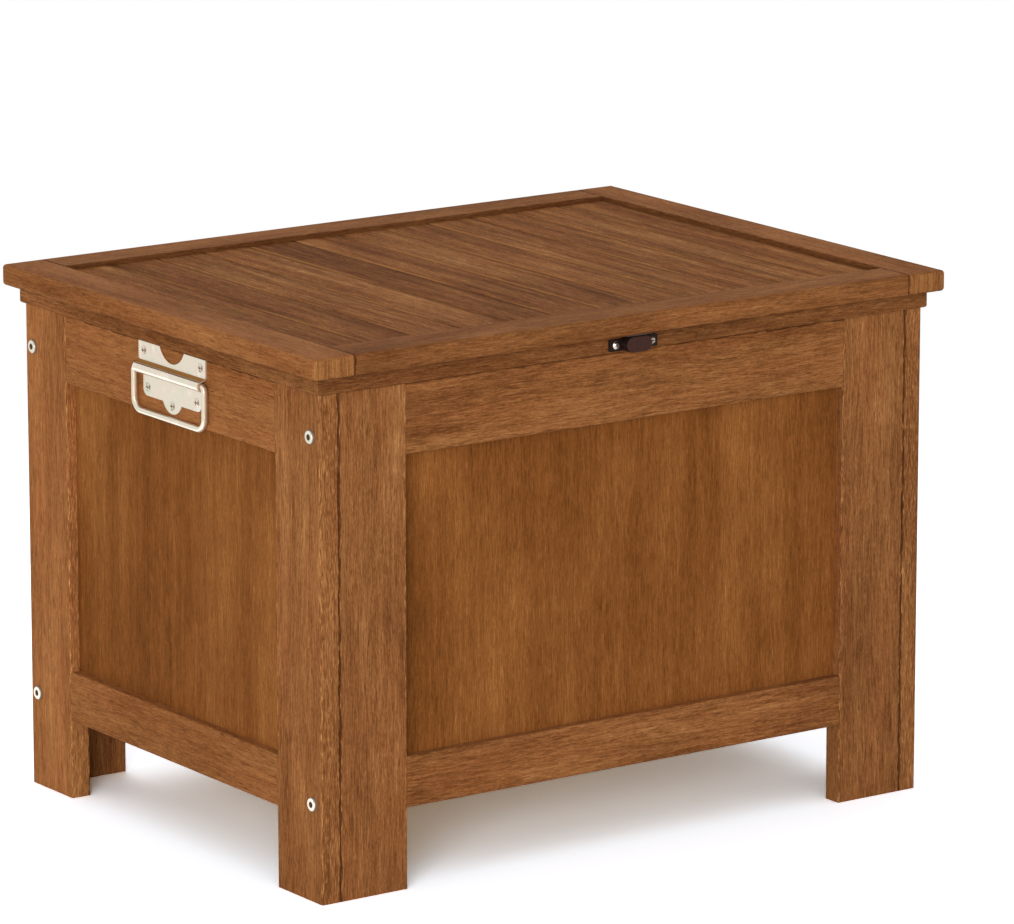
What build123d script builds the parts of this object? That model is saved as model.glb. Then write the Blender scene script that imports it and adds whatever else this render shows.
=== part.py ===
from build123d import *
import os

# A wooden ice chest: four panelled frames bolted together round a foam-lined tub, under a
# slatted lid that is hinged at the back. X runs along the front, Y from front to back, Z up.
# The origin is on the floor under the middle of the cabinet. All sizes are in millimetres.

# Cabinet frames
cabinet_width = 580.0
cabinet_depth = 430.0
cabinet_height = 401.0
foot_height = 65.0
board_thickness = 17.0
stile_width = 62.0
bottom_rail_height = 41.0
top_rail_height = 56.0
panel_thickness = 5.0
panel_setback = 8.5
groove_depth = 8.0
arris_radius = 1.8
joint_arris = 0.8

# Frame bolts and their barrel nuts
bolt_diameter = 6.0
bolt_head_diameter = 11.4
bolt_head_height = 2.4
bolt_head_chamfer = 0.9
bolt_socket = 4.2
bolt_socket_depth = 2.2
bolt_inset = 12.0
bolt_below_top = 34.0
bolt_above_rail = 13.2
bolt_past_nut = 3.0
nut_diameter = 10.0
nut_reach = 30.0
bolt_clearance = 0.25

# Floor and insulation
cleat_size = 20.0
cleat_rise = 5.0
floor_thickness = 9.0
floor_clearance = 0.5
foam_thickness = 20.0

# Tub and drain
tub_wall = 3.0
tub_draft = 2.5
tub_corner_radius = 30.0
tub_floor_fillet = 15.0
flange_clearance = 0.5
drain_inset_x = 65.0
drain_inset_y = 70.0
drain_bore = 18.0
drain_wall = 3.0
drain_flange_diameter = 40.0
drain_flange_thickness = 2.0
drain_tail = 8.0
drain_nut_height = 9.0
drain_nut_flats = 34.0
drain_clearance = 0.3
plug_length = 16.0
plug_head_diameter = 30.0
plug_head_height = 3.0
plug_grip_height = 2.4
plug_grip_width = 4.0
plug_grip_length = 21.0
plug_groove_width = 2.0
plug_groove_depth = 0.8
plug_chamfer = 1.5
plug_groove_drops = (4.8, 9.6)

# Rim round the mouth of the chest
rim_thickness = 14.0
rim_proud = 3.0
rim_arris = 2.0

# Lid
lid_thickness = 17.0
lid_overhang = 10.5
lid_rail_width = 37.0
lid_arris = 3.0
lid_joint_arris = 1.0
lid_tenon_shoulder = 1.0
slat_count = 12
slat_thickness = 8.0
slat_recess = 4.0
slat_gap = 0.6
slat_arris = 2.0
tongue_length = 6.0
lid_panel_clearance = 0.25
tray_depth = 22.0
tray_wall = 2.0
tray_clearance = 3.0
tray_fillet = 4.0
tray_screw_inset = 22.0
seal_round = 1.0
seal_width = 7.0
seal_clearance = 0.5
seal_gap = 0.3
rebate_width = 8.0
rebate_depth = 3.0

# Hinges
hinge_spacing = 350.0
hinge_length = 60.0
hinge_knuckle_length = 18.0
hinge_knuckle_radius = 2.7
hinge_pin_radius = 1.5
hinge_pin_fit = 0.05
hinge_pin_proud = 0.5
hinge_leaf = 1.2
hinge_leaf_width = 25.0
hinge_leaf_height = 11.0
hinge_offset = 3.0
hinge_mortise = 1.5
hinge_gap = 0.3
hinge_lap = 1.0

# Lifting handles
handle_sheet = 1.5
handle_forward = 8.8
handle_width = 97.6
handle_below_rim = 0.3
handle_upper_height = 20.7
handle_lower_width = 85.0
handle_lower_height = 22.1
handle_lower_corner = 6.0
handle_scoop_width = 35.4
handle_scoop_depth = 11.4
handle_tongue_width = 26.8
handle_tongue_depth = 8.6
handle_bead_width = 95.0
handle_bead_rise = 6.5
handle_bead_fall = 5.5
handle_screw_upper_spread = 82.5
handle_screw_upper_drop = 7.0
handle_screw_lower_spread = 71.0
handle_screw_lower_rise = 7.2
handle_screw_tip_drop = 2.0
bail_wire = 5.0
bail_spread = 102.5
bail_drop = 34.5
bail_top_bend = 4.0
bail_bottom_bend = 10.0
bail_clearance = 0.3

# Magnetic catch
catch_width = 46.0
catch_ear = 1.6
catch_ear_height = 9.6
catch_ear_drop = 0.6
catch_ear_corner = 1.0
catch_slot_clearance = 0.3
catch_block_width = 24.5
catch_block_height = 12.6
catch_block_depth = 10.5
catch_block_round = 1.2
catch_top_gap = 0.6
catch_slot_spread = 34.4
catch_slot_length = 7.0
catch_slip = 0.8
magnet_width = 14.0
magnet_thickness = 4.0
magnet_height = 9.0
pole_thickness = 1.2
pole_proud = 0.5
strike_width = 24.0
strike_depth = 8.0
strike_thickness = 1.0

# Screws: shank diameter, length, head diameter, height of the dome
handle_screw = (3.5, 14.0, 7.0, 0.9)
catch_screw = (3.0, 14.0, 6.6, 1.2)
hinge_screw = (2.5, 12.0, 5.0, 0.0)
tray_screw = (4.0, 26.0, 9.0, 0.0)
screw_recess_depth = 1.2
screw_recess_width = 0.9
screw_recess_span = 0.55
screw_crown = 0.6

# How far a cut runs on past the face that it opens through
cut_margin = 1.0

# Places worked out from the sizes above
half_width = cabinet_width / 2
half_depth = cabinet_depth / 2
nut_length = 2 * (board_thickness - bolt_inset)
bottom_rail_top = foot_height + bottom_rail_height
top_rail_bottom = cabinet_height - top_rail_height
cleat_bottom = foot_height + cleat_rise
floor_bottom = cleat_bottom + cleat_size
floor_top = floor_bottom + floor_thickness
tub_bottom = floor_top + foam_thickness
flange_bottom = cabinet_height - tub_wall
foam_x = half_width - board_thickness
foam_y = half_depth - board_thickness
tub_x = foam_x - foam_thickness
tub_y = foam_y - foam_thickness
mouth_x = tub_x - tub_wall
mouth_y = tub_y - tub_wall
drain_x = mouth_x - drain_inset_x
drain_y = drain_inset_y - mouth_y
rim_x = half_width + rim_proud
rim_y = half_depth + rim_proud
rim_top = cabinet_height + rim_thickness
lid_x = rim_x + lid_overhang
lid_y = rim_y + lid_overhang
lid_top = rim_top + lid_thickness
lid_inner_x = lid_x - lid_rail_width
lid_inner_y = lid_y - lid_rail_width
slat_top = lid_top - slat_recess
slat_bottom = slat_top - slat_thickness
hinge_y = rim_y + hinge_offset
hinge_z = rim_top + hinge_mortise - hinge_offset
leaf_floor = rim_top + hinge_mortise
handle_top = cabinet_height - handle_below_rim
bail_z = handle_top - handle_upper_height
bail_out = handle_sheet + bail_clearance + bail_wire / 2
catch_top = rim_top - catch_top_gap
catch_z = catch_top - catch_block_height / 2
catch_ear_z = catch_z - catch_ear_drop


def block(x0, x1, y0, y1, z0, z1):
    """A square-edged block between two corners."""
    middle = Pos((x0 + x1) / 2, (y0 + y1) / 2, (z0 + z1) / 2)
    return middle * Box(x1 - x0, y1 - y0, z1 - z0)


def board(x0, x1, y0, y1, z0, z1, grain, radius):
    """A board with the four arrises along its grain rounded."""
    blank = block(x0, x1, y0, y1, z0, z1)
    return fillet(blank.edges().filter_by(grain), radius)


def frame(width, corner_radius):
    """One panelled frame, face at y = 0 and looking along -Y, as five separate pieces."""
    half = width / 2
    inner = half - stile_width
    groove_front = panel_setback
    groove_back = panel_setback + panel_thickness

    def stile(side):
        outer, edge = side * half, side * inner
        corner = (outer, 0, cabinet_height / 2)
        blank = block(min(outer, edge), max(outer, edge), 0, board_thickness, 0, cabinet_height)
        blank = fillet(blank.edges().filter_by(Axis.Z).sort_by_distance(corner)[1:], joint_arris)
        blank = fillet(blank.edges().filter_by(Axis.Z).sort_by_distance(corner)[0], corner_radius)
        root = edge + side * groove_depth
        groove = block(min(edge, root), max(edge, root), groove_front, groove_back,
                       foot_height, cabinet_height)
        return blank - groove

    def rail(z0, z1, groove_z0, groove_z1):
        plank = board(-inner, inner, 0, board_thickness, z0, z1, Axis.X, arris_radius)
        reach = inner + groove_depth
        tenons = block(-reach, reach, groove_front, groove_back, z0, z1)
        groove = block(-reach, reach, groove_front, groove_back, groove_z0, groove_z1)
        return plank + tenons - groove

    panel = block(-inner - groove_depth, inner + groove_depth, groove_front, groove_back,
                  bottom_rail_top - groove_depth, top_rail_bottom + groove_depth)
    return {
        "left_stile": stile(-1),
        "right_stile": stile(1),
        "top_rail": rail(top_rail_bottom, cabinet_height,
                         top_rail_bottom, top_rail_bottom + groove_depth),
        "bottom_rail": rail(foot_height, bottom_rail_top,
                            bottom_rail_top - groove_depth, bottom_rail_top),
        "panel": panel,
    }


def bolt_places():
    """The side, the end and the height of each frame bolt."""
    heights = (cabinet_height - bolt_below_top, foot_height + bolt_above_rail)
    return [(side, end, z) for side in (-1, 1) for end in (-1, 1) for z in heights]


def along_x(side, x, y, z):
    """Turns a piece whose head points along +Z so that it points out of a side face."""
    return Pos(x, y, z) * Rot(0, 90 * side, 0)


def frame_bolt():
    """A low-headed furniture bolt, head above z = 0 and shank below it."""
    length = board_thickness + nut_reach + bolt_past_nut + nut_diameter / 2
    head = Pos(0, 0, bolt_head_height / 2) * Cylinder(bolt_head_diameter / 2, bolt_head_height)
    head = chamfer(head.edges().group_by(Axis.Z)[-1], bolt_head_chamfer)
    shank = Pos(0, 0, -length / 2) * Cylinder(bolt_diameter / 2, length)
    socket = extrude(RegularPolygon(bolt_socket / 2, 6, major_radius=False), bolt_socket_depth)
    return head + shank - Pos(0, 0, bolt_head_height - bolt_socket_depth) * socket


def barrel_nut():
    """A cross-drilled barrel nut, its own axis along Y and its thread along X."""
    barrel = Rot(90, 0, 0) * Cylinder(nut_diameter / 2, nut_length)
    return barrel - Rot(0, 90, 0) * Cylinder(bolt_diameter / 2, nut_diameter)


def nut_place(side, end, z):
    inner_face = half_depth - board_thickness
    x = side * (half_width - board_thickness - nut_reach)
    return Pos(x, end * (inner_face + nut_length / 2), z)


def bolt_bores():
    """Everything that is drilled out of the stiles for the bolts and the nuts."""
    length = board_thickness + nut_reach + bolt_past_nut + nut_diameter / 2 + bolt_clearance
    bores = []
    for side, end, z in bolt_places():
        bore = Pos(0, 0, -length / 2) * Cylinder(bolt_diameter / 2 + bolt_clearance, length)
        bores.append(along_x(side, side * half_width, end * (half_depth - bolt_inset), z) * bore)
        pocket = Rot(90, 0, 0) * Cylinder(nut_diameter / 2, nut_length)
        bores.append(nut_place(side, end, z) * pocket)
    return bores


def screw_hole(size):
    """The countersink, the shank's hole and the point that a screw fills."""
    diameter, length, head, _ = size
    shank, rim = diameter / 2, head / 2
    profile = Polyline((0, 0), (rim, 0), (shank, shank - rim), (shank, shank - length), (0, -length),
                       close=True)
    return revolve(make_face(profile).moved(Rot(90, 0, 0)), Axis.Z)


def screw(size):
    """A raised countersunk cross-head screw, its rim at z = 0 and its point downwards."""
    _, _, head, dome = size
    rim = head / 2
    body = screw_hole(size)
    if dome > 0:
        body += Pos(0, 0, dome / 2) * Cone(rim, rim * screw_crown, dome)
    slot = Pos(0, 0, dome) * Box(head * screw_recess_span, screw_recess_width,
                                 2 * screw_recess_depth)
    return body - slot - Rot(0, 0, 90) * slot


def cleats():
    """Four battens inside the bottom rails that carry the floor."""
    x, y, s = foam_x, foam_y, cleat_size
    z0, z1 = cleat_bottom, floor_bottom
    return [
        block(-x, x, -y, -y + s, z0, z1),
        block(-x, x, y - s, y, z0, z1),
        block(-x, -x + s, -y + s, y - s, z0, z1),
        block(x - s, x, -y + s, y - s, z0, z1),
    ]


def wall_foam():
    """Four foam slabs between the frames and the tub."""
    z0, z1 = floor_top, flange_bottom
    return [
        block(-foam_x, foam_x, -foam_y, -tub_y, z0, z1),
        block(-foam_x, foam_x, tub_y, foam_y, z0, z1),
        block(-foam_x, -tub_x, -tub_y, tub_y, z0, z1),
        block(tub_x, foam_x, -tub_y, tub_y, z0, z1),
    ]


def drained(solid, radius):
    """Bores a solid for the drain."""
    return solid - Pos(drain_x, drain_y, floor_top) * Cylinder(radius, 2 * cabinet_height)


def tapered_box(inset, bottom, fillet_radius):
    """The tub's drafted form, shrunk by an inset, from the rim down to its floor."""
    mouth = RectangleRounded(2 * (tub_x - inset), 2 * (tub_y - inset), tub_corner_radius - inset)
    form = extrude(Pos(0, 0, cabinet_height) * mouth, cabinet_height - bottom, dir=(0, 0, -1),
                   taper=tub_draft)
    return fillet(form.edges().group_by(Axis.Z)[0], fillet_radius)


def liner_tub():
    """A moulded tub with drafted walls and a flange that lies on the foam."""
    outer = tapered_box(0, tub_bottom, tub_floor_fillet)
    inner = tapered_box(tub_wall, tub_bottom + tub_wall, tub_floor_fillet - tub_wall)
    flange_x, flange_y = foam_x - flange_clearance, foam_y - flange_clearance
    flange = block(-flange_x, flange_x, -flange_y, flange_y, flange_bottom, cabinet_height)
    return drained(outer + flange - inner, drain_bore / 2 + drain_wall)


def drain_tube():
    """A flanged tube through the tub, the foam and the floor, threaded for its nut."""
    top = tub_bottom + tub_wall
    tail = floor_bottom - drain_nut_height - drain_tail
    tube = Pos(0, 0, (top + tail) / 2) * Cylinder(drain_bore / 2 + drain_wall, top - tail)
    flange = Pos(0, 0, top + drain_flange_thickness / 2) * Cylinder(
        drain_flange_diameter / 2, drain_flange_thickness)
    flange = chamfer(flange.edges().group_by(Axis.Z)[-1], drain_flange_thickness / 2)
    return Pos(drain_x, drain_y, 0) * (tube + flange) - Pos(drain_x, drain_y, top) * Cylinder(
        drain_bore / 2, 2 * (top - tail))


def drain_nut():
    hexagon = RegularPolygon(drain_nut_flats / 2, 6, major_radius=False)
    body = extrude(hexagon, drain_nut_height) - Cylinder(
        drain_bore / 2 + drain_wall, 3 * drain_nut_height)
    return Pos(drain_x, drain_y, floor_bottom - drain_nut_height) * body


def drain_plug():
    """A push-in stopper: a ribbed stem, a flat head and a bar to pull it by."""
    radius = drain_bore / 2 - drain_clearance
    seat = tub_bottom + tub_wall + drain_flange_thickness
    stem = Pos(0, 0, -plug_length / 2) * Cylinder(radius, plug_length)
    stem = chamfer(stem.edges().group_by(Axis.Z)[0], plug_chamfer)
    groove = Cylinder(2 * radius, plug_groove_width)
    groove -= Cylinder(radius - plug_groove_depth, plug_groove_width)
    stem -= [Pos(0, 0, -drop) * groove for drop in plug_groove_drops]
    head = Pos(0, 0, plug_head_height / 2) * Cylinder(plug_head_diameter / 2, plug_head_height)
    head = chamfer(head.edges().group_by(Axis.Z)[-1], plug_head_height / 3)
    bar = Pos(0, 0, plug_head_height + plug_grip_height / 2) * Box(
        plug_grip_length, plug_grip_width, plug_grip_height)
    return Pos(drain_x, drain_y, seat) * (stem + head + bar)


def rim_board(along_x_axis, side):
    """One mitred board of the rim, its two outer arrises rounded and its mouth rebated."""
    if along_x_axis:
        corners = [(-rim_x, side * rim_y), (rim_x, side * rim_y),
                   (mouth_x, side * mouth_y), (-mouth_x, side * mouth_y)]
        outer_axis, grain = Axis.Y, Axis.X
    else:
        corners = [(side * rim_x, -rim_y), (side * rim_x, rim_y),
                   (side * mouth_x, mouth_y), (side * mouth_x, -mouth_y)]
        outer_axis, grain = Axis.X, Axis.Y
    face = make_face(Polyline(*corners, close=True))
    plank = Pos(0, 0, cabinet_height) * extrude(face, rim_thickness, dir=(0, 0, 1))
    outer = plank.edges().filter_by(grain).group_by(outer_axis)[0 if side < 0 else -1]
    plank = fillet(outer, rim_arris)
    rebate = block(-mouth_x - rebate_width, mouth_x + rebate_width,
                   -mouth_y - rebate_width, mouth_y + rebate_width,
                   rim_top - rebate_depth, rim_top + cut_margin)
    return plank - rebate


def lid_side_rail(side):
    """A full-length lid rail with all its arrises rounded and a groove for the tongues."""
    outer, edge = side * lid_x, side * lid_inner_x
    inner_face = 0 if side > 0 else -1
    blank = block(min(outer, edge), max(outer, edge), -lid_y, lid_y, rim_top, lid_top)
    joint = blank.faces().sort_by(Axis.X)[inner_face].edges()
    blank = fillet([arris for arris in blank.edges() if arris not in joint], lid_arris)
    blank = fillet(blank.faces().sort_by(Axis.X)[inner_face].edges(), lid_joint_arris)
    root = edge + side * tongue_length
    end = lid_y - lid_arris - lid_tenon_shoulder
    groove = block(min(edge, root), max(edge, root), -end, end, slat_bottom, slat_top)
    return blank - groove


def lid_cross_rail(end):
    """The front or back lid rail, tenoned into the side rails and grooved for the slats."""
    outer, edge = end * lid_y, end * lid_inner_y
    y0, y1 = min(outer, edge), max(outer, edge)
    inner_face = 0 if end > 0 else -1
    plank = block(-lid_inner_x, lid_inner_x, y0, y1, rim_top, lid_top)
    plank = fillet(plank.edges().filter_by(Axis.X).group_by(Axis.Y)[inner_face], lid_joint_arris)
    plank = fillet(plank.edges().filter_by(Axis.X).group_by(Axis.Y)[-1 - inner_face], lid_arris)
    reach = lid_inner_x + tongue_length
    shoulder = lid_arris + lid_tenon_shoulder
    tenon_y0, tenon_y1 = (y0 + shoulder, y1) if end < 0 else (y0, y1 - shoulder)
    tenons = block(-reach, reach, tenon_y0, tenon_y1, slat_bottom, slat_top)
    root = edge + end * tongue_length
    groove = block(-reach, reach, min(edge, root), max(edge, root), slat_bottom, slat_top)
    return plank + tenons - groove


def lid_slats():
    """Slats that run front to back, tongued into the rails all round."""
    pitch = 2 * lid_inner_x / slat_count
    reach_y = lid_inner_y + tongue_length
    slats = []
    for index in range(slat_count):
        x0 = -lid_inner_x + index * pitch + slat_gap / 2
        x1 = x0 + pitch - slat_gap
        if index == 0:
            x0 = -lid_inner_x - tongue_length
        if index == slat_count - 1:
            x1 = lid_inner_x + tongue_length
        slat = block(x0, x1, -reach_y, reach_y, slat_bottom, slat_top)
        top_arrises = slat.edges().filter_by(Axis.Y).group_by(Axis.Z)[-1]
        slats.append(fillet(top_arrises, slat_arris))
    return slats


def tray_screw_places():
    x = mouth_x - tray_clearance - tray_screw_inset
    y = mouth_y - tray_clearance - tray_screw_inset
    return [(px, py) for px in (-x, 0, x) for py in (-y, y)]


def screwed(solid, places):
    """Drills a solid for screws that go up into it from under the lid."""
    for x, y in places:
        solid -= Pos(x, y, rim_top - tray_depth) * Rot(180, 0, 0) * screw_hole(tray_screw)
    return solid


def lid_tray():
    """A shallow tray under the lid that hangs in the mouth of the tub."""
    x, y = mouth_x - tray_clearance, mouth_y - tray_clearance
    radius = tub_corner_radius - tub_wall - tray_clearance
    z0 = rim_top - tray_depth
    outer = Pos(0, 0, z0) * extrude(RectangleRounded(2 * x, 2 * y, radius), tray_depth)
    outer = fillet(outer.edges().group_by(Axis.Z)[0], tray_fillet)
    hollow = extrude(RectangleRounded(2 * (x - tray_wall), 2 * (y - tray_wall),
                                      radius - tray_wall), tray_depth)
    return screwed(outer - Pos(0, 0, z0 + tray_wall) * hollow, tray_screw_places())


def lid_foam():
    x, y = mouth_x - tray_clearance - tray_wall, mouth_y - tray_clearance - tray_wall
    radius = tub_corner_radius - tub_wall - tray_clearance - tray_wall
    slab = extrude(RectangleRounded(2 * x, 2 * y, radius), tray_depth - tray_wall)
    return screwed(Pos(0, 0, rim_top - tray_depth + tray_wall) * slab, tray_screw_places())


def lid_panel():
    x, y = lid_inner_x - lid_panel_clearance, lid_inner_y - lid_panel_clearance
    return screwed(block(-x, x, -y, y, rim_top, slat_bottom), tray_screw_places())


def lid_seal():
    """A rubber ring under the lid that drops into the rebate of the rim."""
    x = mouth_x + rebate_width - seal_clearance
    y = mouth_y + rebate_width - seal_clearance
    thickness = rebate_depth - seal_gap
    ring = RectangleRounded(2 * x, 2 * y, seal_width) - Rectangle(
        2 * (x - seal_width), 2 * (y - seal_width))
    solid = Pos(0, 0, rim_top - thickness) * extrude(ring, thickness)
    return fillet(solid.edges().group_by(Axis.Z)[0], seal_round)


def hinge_places():
    return (-hinge_spacing / 2, hinge_spacing / 2)


def barrel(x0, x1, radius):
    """A cylinder round the hinge line between two places along X."""
    return Pos((x0 + x1) / 2, hinge_y, hinge_z) * Rot(0, 90, 0) * Cylinder(radius, x1 - x0)


def hinge_spans(x):
    """The two outer knuckles of the cabinet's leaf and the middle one of the lid's leaf."""
    half = hinge_length / 2
    outer = [(x - half, x - half + hinge_knuckle_length), (x + half - hinge_knuckle_length, x + half)]
    middle = (outer[0][1] + hinge_gap, outer[1][0] - hinge_gap)
    return outer, middle


def hinge_screw_places(x):
    step = hinge_length / 3
    return [x - step, x, x + step]


def body_leaf(x):
    """The cabinet's hinge leaf, flat on the back of the rim, with two knuckles."""
    outer, _ = hinge_spans(x)
    z_top = hinge_z - hinge_knuckle_radius - hinge_gap
    leaf = block(x - hinge_length / 2, x + hinge_length / 2, rim_y, rim_y + hinge_leaf,
                 z_top - hinge_leaf_height + hinge_knuckle_radius, z_top)
    for x0, x1 in outer:
        leaf += block(x0, x1, rim_y, rim_y + hinge_leaf, z_top - hinge_lap, hinge_z)
        leaf += barrel(x0, x1, hinge_knuckle_radius)
    leaf -= barrel(x - hinge_length, x + hinge_length, hinge_pin_radius)
    for px in hinge_screw_places(x):
        leaf -= body_hinge_screw_at(px) * screw_hole(hinge_screw)
    return leaf


def body_hinge_screw_at(x):
    z_top = hinge_z - hinge_knuckle_radius - hinge_gap
    middle = z_top - (hinge_leaf_height - hinge_knuckle_radius) / 2
    return Pos(x, rim_y + hinge_leaf, middle) * Rot(-90, 0, 0)


def lid_leaf(x):
    """The lid's hinge leaf, let into the lid from below, with one knuckle."""
    _, (x0, x1) = hinge_spans(x)
    z0, z1 = leaf_floor - hinge_leaf, leaf_floor
    y0, y1 = hinge_y - hinge_leaf_width, hinge_y - hinge_knuckle_radius - 2 * hinge_gap
    leaf = block(x - hinge_length / 2, x + hinge_length / 2, y0, y1, z0, z1)
    leaf += block(x0, x1, y1 - hinge_lap, hinge_y, z0, z1)
    leaf += barrel(x0, x1, hinge_knuckle_radius)
    leaf -= barrel(x0 - cut_margin, x1 + cut_margin, hinge_pin_radius + hinge_pin_fit)
    for px in hinge_screw_places(x):
        leaf -= lid_hinge_screw_at(px) * screw_hole(hinge_screw)
    return leaf


def lid_hinge_screw_at(x):
    return Pos(x, hinge_y - hinge_leaf_width / 2, leaf_floor - hinge_leaf) * Rot(180, 0, 0)


def hinge_pin(x):
    reach = hinge_length / 2 + hinge_pin_proud
    return barrel(x - reach, x + reach, hinge_pin_radius)


def hinge_cuts():
    """Mortises and screw holes for the lid's leaves in the back rail of the lid."""
    cuts = []
    for x in hinge_places():
        half = hinge_length / 2 + hinge_pin_proud + hinge_gap
        cuts.append(block(x - half, x + half, hinge_y - hinge_leaf_width,
                          hinge_y + hinge_knuckle_radius + 2 * hinge_gap,
                          rim_top - cut_margin, leaf_floor))
        cuts += [lid_hinge_screw_at(px) * screw_hole(hinge_screw) for px in hinge_screw_places(x)]
    return cuts


def arc_radius(width, depth):
    """The radius of a round that is this wide at its chord and this deep."""
    return (width ** 2 / 4 + depth ** 2) / (2 * depth)


def handle_outline():
    """The plate's outline as seen from the side: Y to the right and Z up, from the bail's line."""
    top, low = handle_upper_height, -handle_lower_height
    upper = Pos(0, (top + handle_bead_rise) / 2) * Rectangle(handle_width, top - handle_bead_rise)
    bead = Pos(0, (handle_bead_rise - handle_bead_fall) / 2) * Rectangle(
        handle_bead_width, handle_bead_rise + handle_bead_fall)
    lower = Pos(0, low / 2) * Rectangle(handle_lower_width, -low)
    lower = fillet(lower.vertices().group_by(Axis.Y)[0], handle_lower_corner)
    tongue_radius = arc_radius(handle_tongue_width, handle_tongue_depth)
    tongue = Pos(0, low - handle_tongue_depth + tongue_radius) * Circle(tongue_radius)
    scoop_radius = arc_radius(handle_scoop_width, handle_scoop_depth)
    scoop = Pos(0, top - handle_scoop_depth + scoop_radius) * Circle(scoop_radius)
    return upper + bead + lower + tongue - scoop


def handle_section():
    """The sheet's section: flat, out over the bail as a bead, and flat again (outward, Z)."""
    t, r = handle_sheet, bail_wire / 2 + bail_clearance
    top, low = handle_upper_height, -handle_lower_height - handle_tongue_depth
    flat = Pos(t / 2, (top + low) / 2) * Rectangle(t, top - low)
    rise, fall = handle_bead_rise, handle_bead_fall
    eye = Pos(bail_out, 0)
    bead = make_hull((eye * Circle(r + t)).edges() + Line((0, -fall), (0, rise)).edges())
    mouth = Line((-cut_margin, -fall + t), (-cut_margin, rise - t))
    hollow = make_hull((eye * Circle(r)).edges() + mouth.edges())
    return flat + bead - hollow


def handle_screw_places():
    """Y and Z of the five screws of a handle plate, from the bail's line."""
    upper = handle_screw_upper_spread / 2
    lower = handle_screw_lower_spread / 2
    z_upper = handle_upper_height - handle_screw_upper_drop
    z_lower = -handle_lower_height + handle_screw_lower_rise
    z_tip = -handle_lower_height - handle_screw_tip_drop
    return [(-upper, z_upper), (upper, z_upper), (-lower, z_lower), (lower, z_lower), (0, z_tip)]


def handle_plate():
    """The left-hand plate: the bead's section run across, trimmed to the outline."""
    # Sketch X is outward, which is -X of the chest; sketch Y is up.
    middle = (-half_width, -handle_forward, bail_z)
    section_plane = Plane(origin=middle, x_dir=(-1, 0, 0), z_dir=(0, 1, 0))
    sheet = extrude(section_plane * handle_section(), handle_width, both=True)
    outline_plane = Plane(origin=middle, x_dir=(0, -1, 0), z_dir=(-1, 0, 0))
    trim = extrude(outline_plane * handle_outline(), 4 * bail_out)
    plate = sheet & trim
    for y, z in handle_screw_places():
        plate -= handle_screw_at(y, z) * screw_hole(handle_screw)
    return plate


def handle_screw_at(y, z):
    return along_x(-1, -half_width - handle_sheet, y - handle_forward, bail_z + z)


def bail():
    """The left-hand bail: one closed loop of round wire, hanging from the plate's bead."""
    half, low = bail_spread / 2, -bail_drop
    top_r, low_r = bail_top_bend, bail_bottom_bend
    loop = FilletPolyline((half, 0), (half, low), (-half, low), (-half, 0),
                          radius=[top_r, low_r, low_r, top_r], close=True)
    plane = Plane(origin=(-half_width - bail_out, -handle_forward, bail_z),
                  x_dir=(0, -1, 0), z_dir=(-1, 0, 0))
    path = plane * loop
    profile = Plane(path @ 0, z_dir=path % 0) * Circle(bail_wire / 2)
    return sweep(profile, path)


def mirrored(solid):
    return mirror(solid, about=Plane.YZ)


def catch_screw_places():
    return [catch_slip + side * catch_slot_spread / 2 for side in (-1, 1)]


def catch_screw_at(x):
    return Pos(x, -rim_y - catch_ear, catch_ear_z) * Rot(90, 0, 0)


def catch_housing():
    """A two-eared plastic housing with a pocket for the magnet in its block."""
    ears = extrude(RectangleRounded(catch_width, catch_ear_height, catch_ear_corner), catch_ear)
    body = extrude(SlotOverall(catch_block_width, catch_block_height), catch_block_depth)
    body = fillet(body.edges().group_by(Axis.Z)[-1], catch_block_round)
    housing = Pos(0, -rim_y, catch_z) * Rot(90, 0, 0) * (Pos(0, -catch_ear_drop, 0) * ears + body)
    for side in (-1, 1):
        slot_width = catch_screw[0] + 2 * catch_slot_clearance
        slot = extrude(SlotOverall(catch_slot_length, slot_width), 2 * catch_ear, both=True)
        housing -= Pos(side * catch_slot_spread / 2, -rim_y, catch_ear_z) * Rot(90, 0, 0) * slot
    for x in catch_screw_places():
        housing -= catch_screw_at(x) * screw_hole(catch_screw)
    y0, y1 = magnet_span()
    half = magnet_width / 2
    pocket = block(-half, half, y0, y1, catch_top - magnet_height - pole_proud, catch_top + cut_margin)
    return housing - pocket


def magnet_span():
    """Front and back of the stack of pole, magnet and pole, centred in the catch's block."""
    middle = -rim_y - catch_block_depth / 2
    half = magnet_thickness / 2 + pole_thickness
    return middle - half, middle + half


def catch_magnet():
    y0, y1 = magnet_span()
    z0 = catch_top - magnet_height - pole_proud
    return block(-magnet_width / 2, magnet_width / 2, y0 + pole_thickness, y1 - pole_thickness,
                 z0, z0 + magnet_height)


def catch_poles():
    y0, y1 = magnet_span()
    z0 = catch_top - magnet_height - pole_proud
    z1 = catch_top + pole_proud
    half = magnet_width / 2
    return [block(-half, half, y0, y0 + pole_thickness, z0, z1),
            block(-half, half, y1 - pole_thickness, y1, z0, z1)]


def strike_plate():
    middle = -rim_y - catch_block_depth / 2
    half_x, half_y = strike_width / 2, strike_depth / 2
    return block(-half_x, half_x, middle - half_y, middle + half_y,
                 rim_top, rim_top + strike_thickness)


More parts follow.
